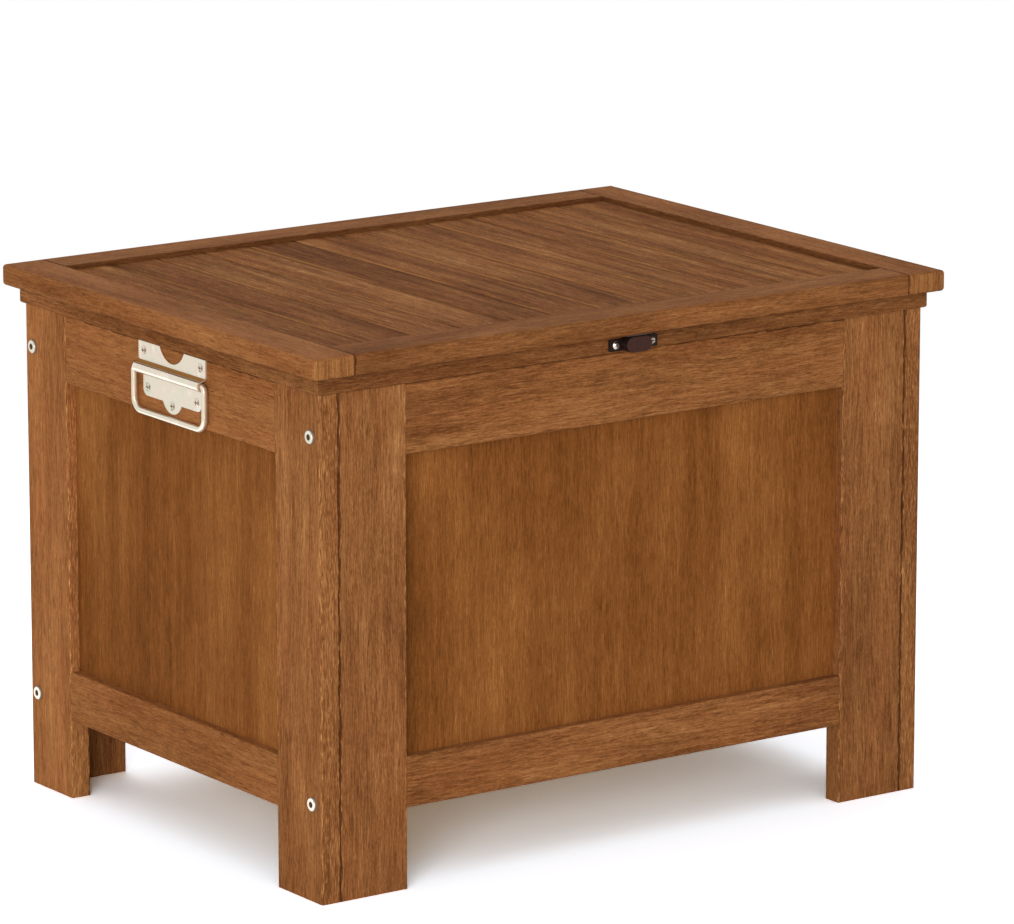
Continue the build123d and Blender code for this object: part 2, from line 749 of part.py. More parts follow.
def build():
    """Makes every piece and returns it under its name."""
    pieces = {}
    bores = bolt_bores()

    side_frame = frame(cabinet_depth, arris_radius)
    end_frame = frame(cabinet_width - 2 * board_thickness, joint_arris)
    # On the left frame the near stile is the sketch's right one; on the right frame it is the left.
    placed = [
        ("left", side_frame, Pos(-half_width, 0, 0) * Rot(0, 0, -90), ("back_stile", "front_stile")),
        ("right", side_frame, Pos(half_width, 0, 0) * Rot(0, 0, 90), ("front_stile", "back_stile")),
        ("front", end_frame, Pos(0, -half_depth, 0), ("left_stile", "right_stile")),
        ("back", end_frame, Pos(0, half_depth, 0) * Rot(0, 0, 180), ("right_stile", "left_stile")),
    ]
    for name, source, place, stiles in placed:
        for stile, key in zip(stiles, ("left_stile", "right_stile")):
            pieces[f"{name}_{stile}"] = place * source[key] - bores
        for key in ("top_rail", "bottom_rail", "panel"):
            pieces[f"{name}_{key}"] = place * source[key]

    outer = half_depth - bolt_inset
    pieces["frame_bolts"] = [along_x(side, side * half_width, end * outer, z) * frame_bolt()
                             for side, end, z in bolt_places()]
    pieces["barrel_nuts"] = [nut_place(*place) * barrel_nut() for place in bolt_places()]

    pieces["floor_cleats"] = cleats()
    x, y = foam_x - floor_clearance, foam_y - floor_clearance
    pieces["floor_board"] = drained(block(-x, x, -y, y, floor_bottom, floor_top),
                                    drain_bore / 2 + drain_wall)
    pieces["floor_foam"] = drained(block(-tub_x, tub_x, -tub_y, tub_y, floor_top, tub_bottom),
                                   drain_bore / 2 + drain_wall)
    pieces["wall_foam"] = wall_foam()
    pieces["liner_tub"] = liner_tub()
    pieces["drain_tube"] = drain_tube()
    pieces["drain_nut"] = drain_nut()
    pieces["drain_plug"] = drain_plug()

    pieces["rim_front"] = rim_board(True, -1)
    pieces["rim_back"] = rim_board(True, 1)
    pieces["rim_left"] = rim_board(False, -1)
    pieces["rim_right"] = rim_board(False, 1)

    pieces["lid_left_rail"] = lid_side_rail(-1)
    pieces["lid_right_rail"] = lid_side_rail(1)
    pieces["lid_front_rail"] = lid_cross_rail(-1) - strike_plate()
    pieces["lid_back_rail"] = lid_cross_rail(1) - hinge_cuts()
    pieces["lid_slats"] = lid_slats()
    pieces["lid_panel"] = lid_panel()
    pieces["lid_foam"] = lid_foam()
    pieces["lid_tray"] = lid_tray()
    pieces["lid_seal"] = lid_seal()
    pieces["strike_plate"] = strike_plate()
    pieces["lid_screws"] = [Pos(px, py, rim_top - tray_depth) * Rot(180, 0, 0) * screw(tray_screw)
                            for px, py in tray_screw_places()]
    pieces["lid_screws"] += [lid_hinge_screw_at(px) * screw(hinge_screw)
                             for x in hinge_places() for px in hinge_screw_places(x)]

    pieces["hinge_cabinet_leaves"] = [body_leaf(x) for x in hinge_places()]
    pieces["hinge_lid_leaves"] = [lid_leaf(x) for x in hinge_places()]
    pieces["hinge_pins"] = [hinge_pin(x) for x in hinge_places()]
    hinge_screws_at = [body_hinge_screw_at(px) for x in hinge_places() for px in hinge_screw_places(x)]
    pieces["hinge_screws"] = [place * screw(hinge_screw) for place in hinge_screws_at]
    pieces["rim_back"] -= [place * screw_hole(hinge_screw) for place in hinge_screws_at]

    pieces["left_handle_plate"] = handle_plate()
    pieces["left_bail"] = bail()
    left_screws = [handle_screw_at(sy, sz) for sy, sz in handle_screw_places()]
    pieces["right_handle_plate"] = mirrored(pieces["left_handle_plate"])
    pieces["right_bail"] = mirrored(pieces["left_bail"])
    screws = [place * screw(handle_screw) for place in left_screws]
    pieces["handle_screws"] = screws + [mirrored(piece) for piece in screws]
    holes = [place * screw_hole(handle_screw) for place in left_screws]
    pieces["left_top_rail"] -= holes
    pieces["right_top_rail"] -= [mirrored(hole) for hole in holes]

    pieces["catch_housing"] = catch_housing()
    pieces["catch_magnet"] = catch_magnet()
    pieces["catch_poles"] = catch_poles()
    pieces["catch_screws"] = [catch_screw_at(x) * screw(catch_screw) for x in catch_screw_places()]
    pieces["rim_front"] -= [catch_screw_at(x) * screw_hole(catch_screw) for x in catch_screw_places()]
    return pieces


def write(pieces):
    """Writes each piece, or group of like pieces, to a file of its own."""
    os.makedirs("parts", exist_ok=True)
    for name, piece in pieces.items():
        solid = Compound(children=list(piece)) if isinstance(piece, list) else piece
        export_step(solid, f"parts/{name}.step")
    print(len(pieces), "nodes written")


write(build())
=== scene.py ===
import math
import random

import bpy
from mathutils import Matrix, Vector


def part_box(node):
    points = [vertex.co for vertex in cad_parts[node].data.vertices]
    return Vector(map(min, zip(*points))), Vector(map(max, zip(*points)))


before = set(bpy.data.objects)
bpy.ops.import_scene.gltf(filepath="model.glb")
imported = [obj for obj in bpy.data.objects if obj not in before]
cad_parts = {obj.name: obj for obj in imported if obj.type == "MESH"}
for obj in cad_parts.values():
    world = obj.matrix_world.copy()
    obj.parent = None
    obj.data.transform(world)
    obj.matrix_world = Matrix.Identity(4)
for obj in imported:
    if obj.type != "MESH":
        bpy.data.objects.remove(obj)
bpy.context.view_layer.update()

# The four frames. Each has two stiles and two rails of oiled hardwood, planed to 17 mm, with
# their arrises eased by hand and the fibres torn a little there. Every board is its own piece of
# timber, so each has its own grain, which runs along its longest side.
X, Y, Z = 0, 1, 2


def srgb(red, green, blue):
    """A colour given in 0 to 255 screen values, as the linear colour that a shader takes."""
    linear = []
    for value in (red, green, blue):
        share = value / 255
        linear.append(share / 12.92 if share <= 0.04045 else ((share + 0.055) / 1.055) ** 2.4)
    return (*linear, 1.0)


def new_finish(name):
    """An empty material, its node tree, and the sockets for a point's own place and its normal."""
    finish = bpy.data.materials.new(name)
    finish.use_nodes = True
    finish.node_tree.nodes.clear()
    coordinates = finish.node_tree.nodes.new("ShaderNodeTexCoord").outputs
    return finish, finish.node_tree, coordinates["Object"], coordinates["Normal"]


def add(tree, kind, inputs, **settings):
    """Adds a shader node with its settings, and feeds its inputs with values or other sockets."""
    node = tree.nodes.new(kind)
    for name, value in settings.items():
        setattr(node, name, value)
    for name, value in inputs.items():
        if isinstance(value, bpy.types.NodeSocket):
            tree.links.new(value, node.inputs[name])
        else:
            node.inputs[name].default_value = value
    return node


def maths(tree, operation, first, second=0.0):
    return add(tree, "ShaderNodeMath", {0: first, 1: second}, operation=operation).outputs[0]


def plus(tree, first, second):
    return maths(tree, "ADD", first, second)


def minus(tree, first, second):
    return maths(tree, "SUBTRACT", first, second)


def times(tree, first, second):
    return maths(tree, "MULTIPLY", first, second)


def larger(tree, first, second):
    return maths(tree, "MAXIMUM", first, second)


def size_of(tree, value):
    return maths(tree, "ABSOLUTE", value)


def ramp(tree, factor, stops):
    """A colour ramp through (place, colour) stops."""
    node = add(tree, "ShaderNodeValToRGB", {0: factor})
    elements = node.color_ramp.elements
    while len(elements) < len(stops):
        elements.new(1.0)
    for element, (place, colour) in zip(elements, stops):
        element.position = place
        element.color = colour
    return node.outputs["Color"]


def between(tree, value, low, high):
    """How far a value has gone from low to high, eased at both ends."""
    node = add(tree, "ShaderNodeMapRange", {"Value": value, "From Min": low, "From Max": high},
               interpolation_type="SMOOTHSTEP")
    return node.outputs["Result"]


def mixed(tree, factor, first, second, blend="MIX"):
    node = add(tree, "ShaderNodeMix", {"Factor": factor, "A": first, "B": second},
               data_type="RGBA", blend_type=blend)
    return node.outputs[2]


def split_up(tree, vector):
    return add(tree, "ShaderNodeSeparateXYZ", {0: vector}).outputs


def fibres(tree, place, grain, width, length, detail=2.0, rough=0.5):
    """Noise drawn out along the grain: its blotches are about width across and length along."""
    sizes = [width, width, width]
    sizes[grain] = length
    stretched = add(tree, "ShaderNodeMapping",
                    {"Vector": place, "Scale": tuple(1 / size for size in sizes)})
    noise = add(tree, "ShaderNodeTexNoise",
                {"Vector": stretched.outputs[0], "Scale": 1.0, "Detail": detail, "Roughness": rough})
    return noise.outputs["Fac"]


def figured(tree, place, grain, layers, strength=1.0):
    """Adds up layers of fibres (width, length, detail, roughness, weight) round one half."""
    total = 0.5
    for width, length, detail, rough, weight in layers:
        noise = fibres(tree, place, grain, width, length, detail, rough)
        swing = times(tree, minus(tree, noise, 0.5), weight * strength)
        total = plus(tree, swing, total)
    return total


def cut_from_log(tree, spot, seed):
    """Places on a board, moved to where it lay in the log and bent a little with the grain."""
    draw = random.Random(seed)
    log_reach = 3
    bends_per_metre = 9.0
    bend = 0.007
    shift = tuple(draw.uniform(-log_reach, log_reach) for _ in range(3))
    moved = add(tree, "ShaderNodeMapping", {"Vector": spot, "Location": shift}).outputs[0]
    wander = add(tree, "ShaderNodeTexNoise", {"Vector": moved, "Scale": bends_per_metre, "Detail": 1.0})
    centred = add(tree, "ShaderNodeVectorMath", {0: wander.outputs["Color"], 1: (0.5, 0.5, 0.5)},
                  operation="SUBTRACT")
    bent = add(tree, "ShaderNodeVectorMath", {0: centred.outputs[0], 1: (bend, bend, bend), 2: moved},
               operation="MULTIPLY_ADD")
    return bent.outputs[0]


def finish_output(tree, colour, roughness, height, depth, **sockets):
    """Ends a finish with its bump, a depth in metres, and the shader with its fixed sockets."""
    bump = add(tree, "ShaderNodeBump", {"Strength": 1.0, "Distance": depth, "Height": height})
    inputs = {"Base Color": colour, "Roughness": roughness, "Normal": bump.outputs[0]}
    surface = add(tree, "ShaderNodeBsdfPrincipled", inputs)
    for name, value in sockets.items():
        surface.inputs[name.replace("_", " ")].default_value = value
    add(tree, "ShaderNodeOutputMaterial", {"Surface": surface.outputs[0]})
    return surface


OILED_TONES = [(0.0, srgb(84, 48, 25)), (0.3, srgb(119, 72, 39)), (0.5, srgb(144, 92, 52)),
               (0.7, srgb(167, 111, 66)), (1.0, srgb(207, 151, 96))]
END_TONES = [(0.2, srgb(112, 68, 36)), (0.5, srgb(150, 98, 55)), (0.8, srgb(178, 124, 74))]
PORE = srgb(82, 45, 21)
FLECK = srgb(226, 164, 100)
# A dark brown for dark joint lines and for painted shade lines and strips.
JOINT_AND_SHADE = srgb(62, 30, 14)
# The light and dark of planed timber: bands, two widths of streak, long and short dashes, a ripple.
TIMBER_FIGURE = [(0.045, 0.21, 2.0, 0.5, 0.62), (0.0085, 0.12, 3.0, 0.6, 0.42),
                 (0.0022, 0.050, 2.0, 0.6, 0.46), (0.0009, 0.015, 2.0, 0.7, 0.85),
                 (0.0009, 0.0032, 2.0, 0.5, 0.52), (0.022, 0.013, 2.0, 0.5, 0.08)]
END_FIGURE = [(0.0016, 0.045, 2.0, 0.6, 1.0), (0.0008, 0.002, 1.0, 0.6, 0.6)]


def warmed(tree, place, grain, colour):
    """Timber isn't of one hue: long patches of a board are redder or more golden than the rest."""
    golden, reddish = (0.98, 1.01, 1.00, 1.0), (1.03, 0.98, 0.97, 1.0)
    patch = fibres(tree, place, grain, width=0.026, length=0.20)
    hue = ramp(tree, patch, [(0.32, golden), (0.68, reddish)])
    return mixed(tree, 1.0, colour, hue, "MULTIPLY")


def open_pores(tree, place, grain, width=0.0009, length=0.012, start=0.61, full=0.72):
    """Rises to 1 in the short open pores, which run along the grain and hold the most oil."""
    return between(tree, fibres(tree, place, grain, width, length, detail=1.0), start, full)


def near_arris(tree, own, low, high, grain, reach):
    """Rises to 1 along a board's four long arrises, from nothing at a reach inside them."""
    total = 0.0
    for axis in (X, Y, Z):
        if axis == grain:
            continue
        middle, half = (low[axis] + high[axis]) / 2, (high[axis] - low[axis]) / 2
        out = size_of(tree, minus(tree, own[axis], middle))
        total = plus(tree, minus(tree, half, out), total)
    return between(tree, total, reach, 0.0)


def joint_line(tree, own, ragged, joints):
    """Rises to its darkening in each narrow, ragged line: dark joints where a board meets its neighbour,
    and painted shade lines.
    """
    least, spread = 0.0003, 0.0017
    line = 0.0
    width = times(tree, between(tree, ragged, 0.30, 0.72), spread)
    for axis, where, darkening in joints:
        away = size_of(tree, minus(tree, own[axis], where))
        away = maths(tree, "DIVIDE", away, plus(tree, width, least))
        darkened = times(tree, between(tree, away, 1.2, 0.7), darkening)
        line = larger(tree, line, darkened)
    return line


def dress(node, finish):
    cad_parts[node].data.materials.clear()
    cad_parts[node].data.materials.append(finish)


def oil_board(board, name, seed, shade, joints=(), edge_grain=0.0, wear=0.35, figure=1.0):
    """Oils one board: streaks, pores, torn arrises, end grain, and the lines of its joints list, which
    are dark joints and painted shade lines.
    """
    arris_reach = 0.0036
    pore_dark, torn_dark, torn_light = 0.45, 0.70, 0.75
    low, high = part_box(board)
    sides = [high[axis] - low[axis] for axis in (X, Y, Z)]
    flat, grain = sides.index(min(sides)), sides.index(max(sides))
    broad = X + Y + Z - flat - grain
    finish, tree, spot, normal = new_finish(name)
    own, facing = split_up(tree, spot), split_up(tree, normal)
    place = cut_from_log(tree, spot, seed)

    tone = figured(tree, place, grain, TIMBER_FIGURE, figure)
    colour = ramp(tree, tone, OILED_TONES)
    colour = warmed(tree, place, grain, colour)
    pores = open_pores(tree, place, grain)
    colour = mixed(tree, times(tree, pores, pore_dark), colour, PORE)

    torn = fibres(tree, place, grain, width=0.0009, length=0.0070, rough=0.6)
    edge = size_of(tree, facing[broad])
    edge = times(tree, between(tree, edge, 0.6, 0.85), edge_grain)
    worn = times(tree, near_arris(tree, own, low, high, grain, arris_reach), wear)
    worn = larger(tree, worn, edge)
    dark = times(tree, between(tree, torn, 0.48, 0.34), worn)
    light = times(tree, between(tree, torn, 0.53, 0.66), worn)
    colour = mixed(tree, times(tree, dark, torn_dark), colour, PORE)
    colour = mixed(tree, times(tree, light, torn_light), colour, FLECK)

    rings = figured(tree, place, flat, END_FIGURE)
    ends = between(tree, size_of(tree, facing[grain]), 0.55, 0.85)
    colour = mixed(tree, ends, colour, ramp(tree, rings, END_TONES))
    colour = mixed(tree, 1.0, colour, (shade, shade, shade, 1.0), "MULTIPLY")
    # Dark joint lines and painted shade lines, as the joints list gives them.
    ragged = fibres(tree, place, grain, width=0.0040, length=0.018, rough=0.6)
    colour = mixed(tree, joint_line(tree, own, ragged, joints), colour, JOINT_AND_SHADE)

    height = minus(tree, tone, plus(tree, pores, dark))
    roughness = plus(tree, times(tree, tone, -0.15), 0.68)
    finish_output(tree, colour, roughness, height, depth=0.00020, Specular_IOR_Level=0.01)
    dress(board, finish)


# Each board's own tone, except back_left_stile, back_right_stile and right_back_stile, which are darkened
# as painted shade where they show under the chest.
board_shades = {"left_back_stile": 1.24, "left_front_stile": 1.07, "left_top_rail": 1.15,
                "left_bottom_rail": 1.08, "front_left_stile": 0.98, "front_right_stile": 0.91,
                "front_top_rail": 0.98, "front_bottom_rail": 0.97, "back_left_stile": 0.86,
                "back_right_stile": 0.86, "right_back_stile": 0.88}
board_figures = {"left_top_rail": 0.75, "left_bottom_rail": 0.8, "left_back_stile": 0.8}
side_joint, rim_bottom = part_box("front_left_stile")[0][X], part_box("rim_front")[0][Z]
frame_pieces = ("back_stile", "front_stile", "left_stile", "right_stile", "top_rail", "bottom_rail")
boards = [(wall, piece) for wall in ("left", "right", "front", "back") for piece in frame_pieces]
for seed, (wall, piece) in enumerate(boards):
    board = f"{wall}_{piece}"
    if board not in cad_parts:
        continue
    upright = piece.endswith("stile")
    # Stiles get dark joint lines at the corner grooves. Rails get a painted shadow line under the rim's
    # bottom edge.
    joints = [(X, side_joint, 0.75), (X, -side_joint, 0.75)] if upright else [(Z, rim_bottom, 0.6)]
    edge_grain = 0.4 if upright and wall in ("left", "right") else 0.15
    wear = 0.85 if upright else 0.35
    oil_board(board, f"oiled_{board}", seed, board_shades.get(board, 1.0), joints, edge_grain, wear,
              board_figures.get(board, 1.0))

# The four panels. Each is 5 mm plywood, faced with a straight-grained veneer that takes the oil
# darker and more olive than the solid boards do, and it stands loose in the grooves of its frame.
VENEER_TONES = [(0.0, srgb(86, 48, 17)), (0.3, srgb(115, 68, 29)), (0.5, srgb(136, 82, 39)),
                (0.7, srgb(154, 98, 50)), (1.0, srgb(190, 132, 74))]
VENEER_FIGURE = [(0.12, 0.30, 2.0, 0.5, 1.00), (0.018, 0.40, 3.0, 0.55, 0.46),
                 (0.0034, 0.12, 2.0, 0.6, 0.32), (0.0009, 0.013, 2.0, 0.7, 0.85),
                 (0.0009, 0.0030, 2.0, 0.5, 0.40), (0.026, 0.030, 2.0, 0.5, 0.20)]
veneer_pore_dark = 0.40
for seed, wall in enumerate(("front", "left", "right", "back"), 100):
    finish, tree, spot, _ = new_finish(f"veneer_{wall}")
    place = cut_from_log(tree, spot, seed)
    tone = figured(tree, place, Z, VENEER_FIGURE)
    colour = ramp(tree, tone, VENEER_TONES)
    pores = open_pores(tree, place, Z, start=0.62, full=0.74)
    colour = mixed(tree, times(tree, pores, veneer_pore_dark), colour, PORE)
    roughness = plus(tree, times(tree, tone, -0.10), 0.60)
    height = minus(tree, tone, pores)
    finish_output(tree, colour, roughness, height, depth=0.00010, Specular_IOR_Level=0.01)
    dress(f"{wall}_panel", finish)

# The frame bolts and barrel nuts. Eight nickel-plated furniture bolts with flat heads and hexagon
# sockets run through the side frames into cross-drilled nuts in the front and back frames' stiles.
BOLT_TONES = [(0.25, srgb(204, 197, 176)), (0.5, srgb(226, 221, 204)), (0.75, srgb(240, 236, 226))]
# A dull brown painted into sockets and recesses as painted shade, with the wood that they reflect.
RECESS_SHADE = srgb(104, 70, 44)


def clouds(tree, place, per_metre, detail):
    noise = add(tree, "ShaderNodeTexNoise", {"Vector": place, "Scale": per_metre, "Detail": detail})
    return noise.outputs["Fac"]


def plated(tree, place, tones, painted_mask=0.0, darkening=RECESS_SHADE):
    """Plated steel: cloudy colour and faint scratches, and, where the painted mask rises, a dull
    non-metal colour painted in as shade or as a reflection, as the caller sets it.
    """
    least_rough, uneven_rough, painted_rough = 0.10, 0.10, 0.4
    cloud = clouds(tree, place, per_metre=70.0, detail=3.0)
    scratch = clouds(tree, place, per_metre=1500.0, detail=2.0)
    colour = mixed(tree, painted_mask, ramp(tree, cloud, tones), darkening)
    roughness = plus(tree, times(tree, scratch, uneven_rough), times(tree, cloud, uneven_rough))
    roughness = plus(tree, roughness, times(tree, painted_mask, painted_rough))
    roughness = plus(tree, roughness, least_rough)
    surface = finish_output(tree, colour, roughness, scratch, depth=0.000002, Specular_IOR_Level=0.3)
    tree.links.new(minus(tree, 1.0, painted_mask), surface.inputs["Metallic"])


finish, tree, spot, _ = new_finish("nickel_bolts")
own = split_up(tree, spot)
bolts_low, bolts_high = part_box("frame_bolts")
head_radius = 0.0057
socket_radius = 0.0025
edge_shade_width = 0.0010
edge_shade_strength = 0.85
blur = 0.0002
bolt_y = bolts_high[Y] - head_radius
bolt_z_middle = (bolts_low[Z] + bolts_high[Z]) / 2
bolt_z_reach = (bolts_high[Z] - bolts_low[Z]) / 2 - head_radius
off_y = minus(tree, size_of(tree, own[Y]), bolt_y)
off_z = size_of(tree, minus(tree, own[Z], bolt_z_middle))
off_z = minus(tree, off_z, bolt_z_reach)
from_axis = plus(tree, maths(tree, "POWER", off_y, 2.0), maths(tree, "POWER", off_z, 2.0))
from_axis = maths(tree, "SQRT", from_axis)
# Painted shade in the socket and in a ring at the head's edge.
socket = between(tree, from_axis, socket_radius + blur, socket_radius - blur)
grime_and_shade = between(tree, from_axis, head_radius - edge_shade_width, head_radius - blur)
plated(tree, spot, BOLT_TONES, larger(tree, socket, times(tree, grime_and_shade, edge_shade_strength)))
dress("frame_bolts", finish)

finish, tree, spot, _ = new_finish("zinc_nuts")
plated(tree, spot, [(0.3, srgb(150, 150, 146)), (0.7, srgb(190, 190, 184))])
dress("barrel_nuts", finish)

# The floor. Four sawn softwood battens, fixed inside the bottom rails, carry a 9 mm plywood board,
# which shows from below with its veneer running along the chest.
SOFTWOOD_TONES = [(0.1, srgb(160, 118, 70)), (0.4, srgb(196, 156, 104)), (0.6, srgb(212, 176, 124)),
                  (0.9, srgb(228, 198, 150))]
finish, tree, spot, _ = new_finish("sawn_softwood")
place = cut_from_log(tree, spot, 150)
side_cleats = figured(tree, place, Y, TIMBER_FIGURE)
long_cleats = figured(tree, place, X, TIMBER_FIGURE)
cleats_low, cleats_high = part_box("floor_cleats")
cleat_thickness = cleats_high[Z] - cleats_low[Z]
inner_side = cleats_high[X] - cleat_thickness
blur = 0.0003
on_side = between(tree, size_of(tree, split_up(tree, spot)[X]), inner_side - blur, inner_side + blur)
side_cleats = times(tree, side_cleats, on_side)
long_cleats = times(tree, long_cleats, minus(tree, 1.0, on_side))
tone = plus(tree, side_cleats, long_cleats)
saw_cuts = {"Vector": place, "Scale": 260.0, "Distortion": 2.0}
saw_marks = add(tree, "ShaderNodeTexWave", saw_cuts).outputs["Fac"]
height = plus(tree, tone, times(tree, saw_marks, 0.5))
colour = ramp(tree, tone, SOFTWOOD_TONES)
finish_output(tree, colour, roughness=0.8, height=height, depth=0.0002, Specular_IOR_Level=0.2)
dress("floor_cleats", finish)


def face_with_plywood(node, name, seed, tones):
    """Plywood with its face veneer along X and its plies showing as stripes on its edges."""
    ply_count = 5
    glue_dark = 0.45
    low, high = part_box(node)
    finish, tree, spot, normal = new_finish(name)
    place = cut_from_log(tree, spot, seed)
    tone = figured(tree, place, X, TIMBER_FIGURE, 0.8)
    above_bottom = minus(tree, split_up(tree, spot)[Z], low[Z])
    plies = maths(tree, "DIVIDE", above_bottom, (high[Z] - low[Z]) / ply_count)
    odd = maths(tree, "GREATER_THAN", maths(tree, "MODULO", plies, 2.0), 1.0)
    edge = between(tree, size_of(tree, split_up(tree, normal)[Z]), 0.6, 0.3)
    stripes = times(tree, times(tree, odd, edge), glue_dark)
    colour = mixed(tree, stripes, ramp(tree, tone, tones), PORE)
    finish_output(tree, colour, roughness=0.72, height=tone, depth=0.00015, Specular_IOR_Level=0.15)
    dress(node, finish)


face_with_plywood("floor_board", "floor_plywood", 151, SOFTWOOD_TONES)

# The insulation. White bead foam, cut into slabs, fills the space between the frames and the tub,
# lies under the tub's floor and fills the tray in the lid.
FOAM_TONES = [(0.0, srgb(206, 206, 200)), (0.12, srgb(240, 240, 236))]
finish, tree, spot, _ = new_finish("bead_foam")
beads_per_metre = 320.0
packing = {"Vector": spot, "Scale": beads_per_metre}
beads = add(tree, "ShaderNodeTexVoronoi", packing).outputs["Color"]
seams = add(tree, "ShaderNodeTexVoronoi", packing, feature="DISTANCE_TO_EDGE").outputs["Distance"]
colour = mixed(tree, 0.06, ramp(tree, seams, FOAM_TONES), beads)
finish_output(tree, colour, roughness=0.7, height=seams, depth=0.0004, Specular_IOR_Level=0.3)
for slab in ("wall_foam", "floor_foam", "lid_foam"):
    dress(slab, finish)

# The tub and its drain. The tub is formed from one white plastic sheet, and so is the lid's tray.
# A flanged tube, drawn down by a nut under the floor, lets the melt water out, and a rubber
# stopper with a pull bar closes it.


def moulded(name, tones, grime_and_shade, roughness, texture):
    """Moulded plastic: clouded colour, a fine skin texture and scuffs that catch the light."""
    scuff_strength = 0.35
    finish, tree, spot, _ = new_finish(name)
    cloud = clouds(tree, spot, per_metre=22.0, detail=4.0)
    skin = clouds(tree, spot, per_metre=1400.0, detail=2.0)
    scuffs = fibres(tree, spot, X, width=0.0008, length=0.030, rough=0.7)
    marked = times(tree, between(tree, scuffs, 0.64, 0.74), scuff_strength)
    colour = mixed(tree, marked, ramp(tree, cloud, tones), grime_and_shade)
    polish = plus(tree, times(tree, cloud, 0.06), roughness)
    polish = plus(tree, polish, times(tree, marked, 0.4))
    finish_output(tree, colour, polish, skin, depth=texture, Specular_IOR_Level=0.45)
    return finish


tub_tones = [(0.3, srgb(233, 233, 227)), (0.7, srgb(238, 238, 233))]
drain_tones = [(0.3, srgb(212, 212, 206)), (0.7, srgb(228, 228, 222))]
rubber_tones = [(0.3, srgb(34, 33, 32)), (0.7, srgb(48, 47, 45))]
tub_finish = moulded("tub_plastic", tub_tones, srgb(214, 213, 205), roughness=0.28, texture=0.00003)
drain_finish = moulded("drain_plastic", drain_tones, srgb(196, 195, 188), roughness=0.34, texture=0.00004)
rubber_finish = moulded("black_rubber", rubber_tones, srgb(84, 82, 78), roughness=0.55, texture=0.00008)
dress("liner_tub", tub_finish)
dress("drain_tube", drain_finish)
dress("drain_nut", drain_finish)
dress("drain_plug", rubber_finish)

# The rim. Four boards, mitred at the corners and fixed on top of the frames, cover the edge of the
# tub and the foam, and stand 3 mm proud of the frames with their outer arrises rounded.
# Each rim is darkened as painted shade from the lid's overhang, the front one most.
rim_shades = {"front": 0.76, "left": 0.90, "right": 0.90, "back": 0.90}
for seed, (side, shade) in enumerate(rim_shades.items(), 200):
    oil_board(f"rim_{side}", f"oiled_rim_{side}", seed, shade)

# The lifting handles. Each is a nickel-plated sheet, pressed into a bead that holds a bail of
# bent wire, and fixed to the top rail by five raised cross-head screws.
HANDLE_TONES = [(0.30, srgb(216, 214, 190)), (0.45, srgb(225, 217, 197)), (0.58, srgb(229, 213, 196)),
                (0.72, srgb(235, 227, 208))]
# Painted reflection and shade of the wood round the handle: a dull golden brown on the bead's upward
# slope, on faces turned down and on faces turned to the front.
REFLECTED_WOOD = srgb(152, 98, 4)
bead_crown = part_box("right_handle_plate")[1][X]
reflection_starts, reflection_full = bead_crown - 0.0020, bead_crown - 0.0034
side_reflection = 0.60
for part, crown, reflection_share in (("handle_plate", 0.25, 0.95), ("bail", 0.75, 0.35)):
    finish, tree, spot, normal = new_finish(f"nickel_{part}")
    facing = split_up(tree, normal)
    upward_side = times(tree, between(tree, facing[Z], crown, crown + 0.2), reflection_share)
    if part == "handle_plate":
        out = size_of(tree, split_up(tree, spot)[X])
        upward_side = times(tree, upward_side, between(tree, out, reflection_starts, reflection_full))
    downward_side = times(tree, between(tree, facing[Z], -0.35, -0.80), side_reflection)
    front_side = times(tree, between(tree, facing[Y], -0.55, -0.90), side_reflection)
    painted_reflection = larger(tree, larger(tree, upward_side, downward_side), front_side)
    plated(tree, spot, HANDLE_TONES, painted_reflection, REFLECTED_WOOD)
    for side in ("left", "right"):
        dress(f"{side}_{part}", finish)


def cross_head_screws(name, node, axis, recess_floor, tones):
    """Plated screws with painted shade on the walls of the cross recess and from its floor inward, and on
    handle screws also on the side facing the front.
    """
    blur = 0.0001
    recess_shade, side_shade = 0.9, 0.8
    finish, tree, spot, normal = new_finish(name)
    own, facing = split_up(tree, spot), split_up(tree, normal)
    wall = between(tree, size_of(tree, facing[axis]), 0.45, 0.20)
    inside = between(tree, size_of(tree, own[axis]), recess_floor + blur, recess_floor - blur)
    dark = times(tree, larger(tree, wall, inside), recess_shade)
    if axis == X:
        front_side = between(tree, facing[Y], -0.25, -0.55)
        dark = larger(tree, dark, times(tree, front_side, side_shade))
    plated(tree, spot, tones, dark)
    dress(node, finish)


handle_screw_recess = 0.00078
recess_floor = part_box("handle_screws")[1][X] - handle_screw_recess
cross_head_screws("nickel_handle_screws", "handle_screws", X, recess_floor, HANDLE_TONES)

# The catch. A brown moulded housing, screwed through its two ears to the rim, holds a magnet
# between two steel poles, which pull on a strike plate let into the lid.
finish, tree, spot, normal = new_finish("catch_plastic")
skin = clouds(tree, spot, per_metre=900.0, detail=3.0)
brown = ramp(tree, skin, [(0.3, srgb(52, 28, 22)), (0.7, srgb(68, 40, 32))])
catch_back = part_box("catch_housing")[1][Y]
ear_front, ear_dark = catch_back - 0.0026, catch_back - 0.0016
# All faces but the front are painted near-black as shade, and the ears near the back are darkened to
# near-black too.
on_ear = between(tree, split_up(tree, spot)[Y], ear_front, ear_dark)
shaded = larger(tree, on_ear, between(tree, split_up(tree, normal)[Y], -0.80, -0.55))
brown = mixed(tree, times(tree, shaded, 0.85), brown, srgb(20, 11, 9))
finish_output(tree, brown, roughness=0.55, height=skin, depth=0.00004, Specular_IOR_Level=0.12)
dress("catch_housing", finish)

magnet_tones = [(0.3, srgb(38, 38, 40)), (0.7, srgb(56, 56, 58))]
finish = moulded("ferrite_magnet", magnet_tones, srgb(90, 90, 92), roughness=0.50, texture=0.00006)
dress("catch_magnet", finish)

